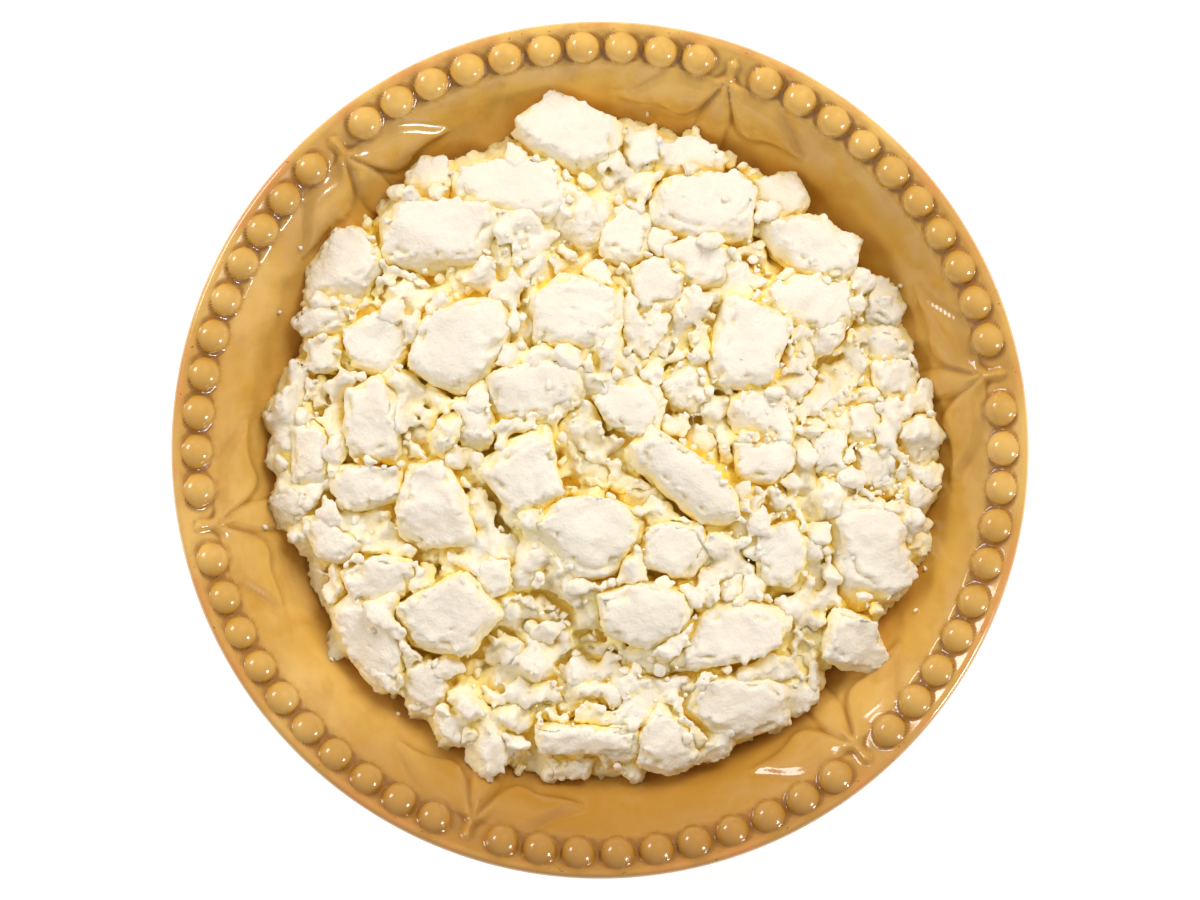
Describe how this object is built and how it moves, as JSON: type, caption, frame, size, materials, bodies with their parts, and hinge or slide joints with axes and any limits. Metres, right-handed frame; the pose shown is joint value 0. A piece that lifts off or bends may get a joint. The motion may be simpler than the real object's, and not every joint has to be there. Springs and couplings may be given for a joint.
{
  "type": "bowl of crumbled goat cheese",
  "caption": "Round glazed stoneware bowl with a beaded rim and leaf sprigs, heaped with crumbled goat cheese in uneven lumps and crumbs.",
  "frame": {"origin": "middle of the foot ring's underside, on the surface that the bowl stands on", "axes": "+Z up through the open bowl; +X right and +Y up in the plan view of the picture"},
  "size_m": [0.18, 0.18, 0.0565],
  "materials": {
    "glaze": "glossy caramel glaze on stoneware",
    "cheese": "matt, crumbly, creamy white"
  },
  "bodies": {
    "root": {"bowl": "glaze", "cheese_heap": "cheese"}
  },
  "joints": []
}
